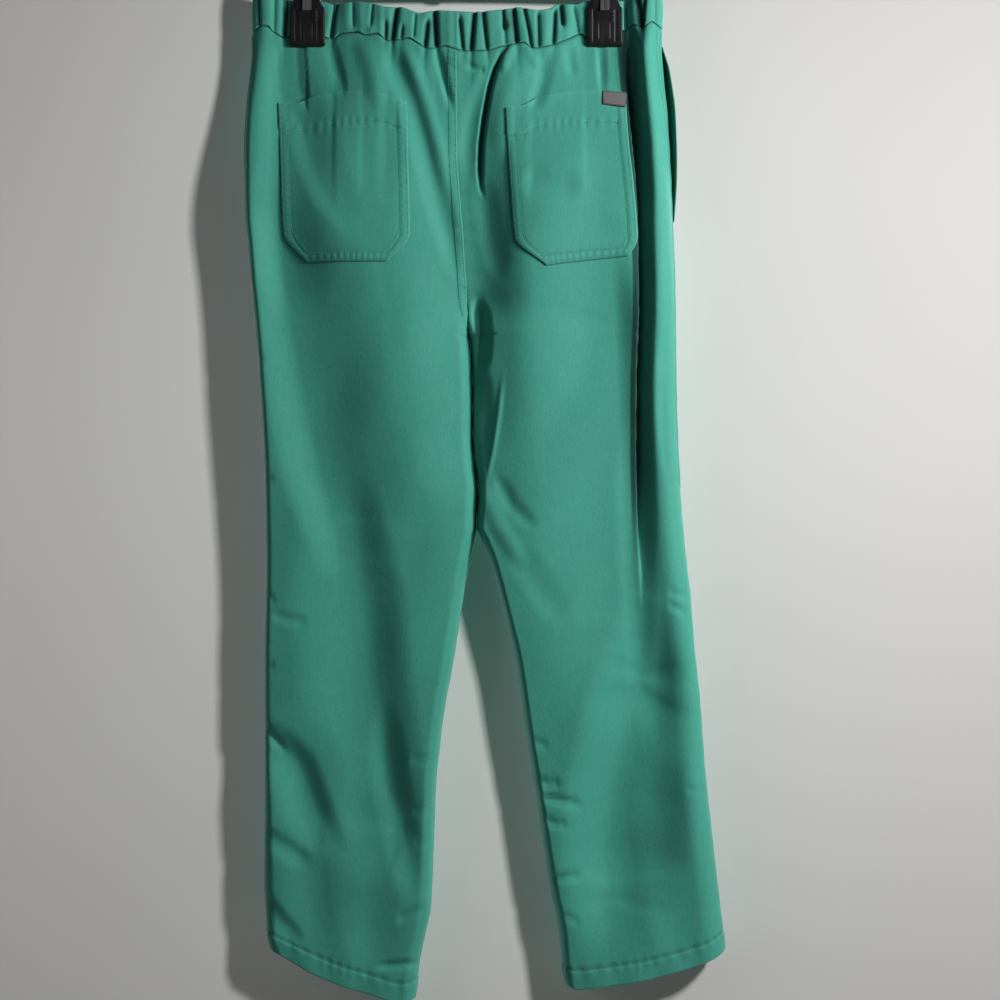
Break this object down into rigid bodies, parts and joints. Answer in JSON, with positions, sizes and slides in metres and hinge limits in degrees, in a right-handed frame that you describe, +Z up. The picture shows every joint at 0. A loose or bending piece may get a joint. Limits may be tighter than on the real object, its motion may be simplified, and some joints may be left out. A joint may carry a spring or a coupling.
{
  "type": "medical scrub trousers on a two-clip trouser hanger",
  "caption": "Green medical scrub trousers with an elastic waist and patch pockets behind, hanging by the waistband from a clip hanger.",
  "frame": {"origin": "inside top of the hanger's hook, where it rests on a rod", "axes": "+Z up along the hanging trousers, +X to the right of someone facing the seat, +Y from the seat to the front"},
  "size_m": [0.4825, 0.0796, 1.15],
  "materials": {
    "cloth": "smooth fine twill with a soft sheen",
    "casing": "gathered elastic casing of the same cloth",
    "label": "flat woven tape",
    "plastic": "gloss black",
    "steel": "bright wire and strip"
  },
  "bodies": {
    "root": {"back_panel_left": "cloth", "back_panel_right": "cloth", "front_panel_left": "cloth", "front_panel_right": "cloth", "waistband_left": "casing", "waistband_right": "casing", "back_pocket_left": "cloth", "back_pocket_right": "cloth", "side_pocket_facing_left": "cloth", "side_pocket_facing_right": "cloth", "pocket_label": "label", "clip_back_jaw_left": "plastic", "clip_back_jaw_right": "plastic", "clip_front_jaw_left": "plastic", "clip_front_jaw_right": "plastic", "clip_spring_left": "steel", "clip_spring_right": "steel", "hanger_bar": "plastic", "hanger_hook": "steel"}
  },
  "joints": []
}
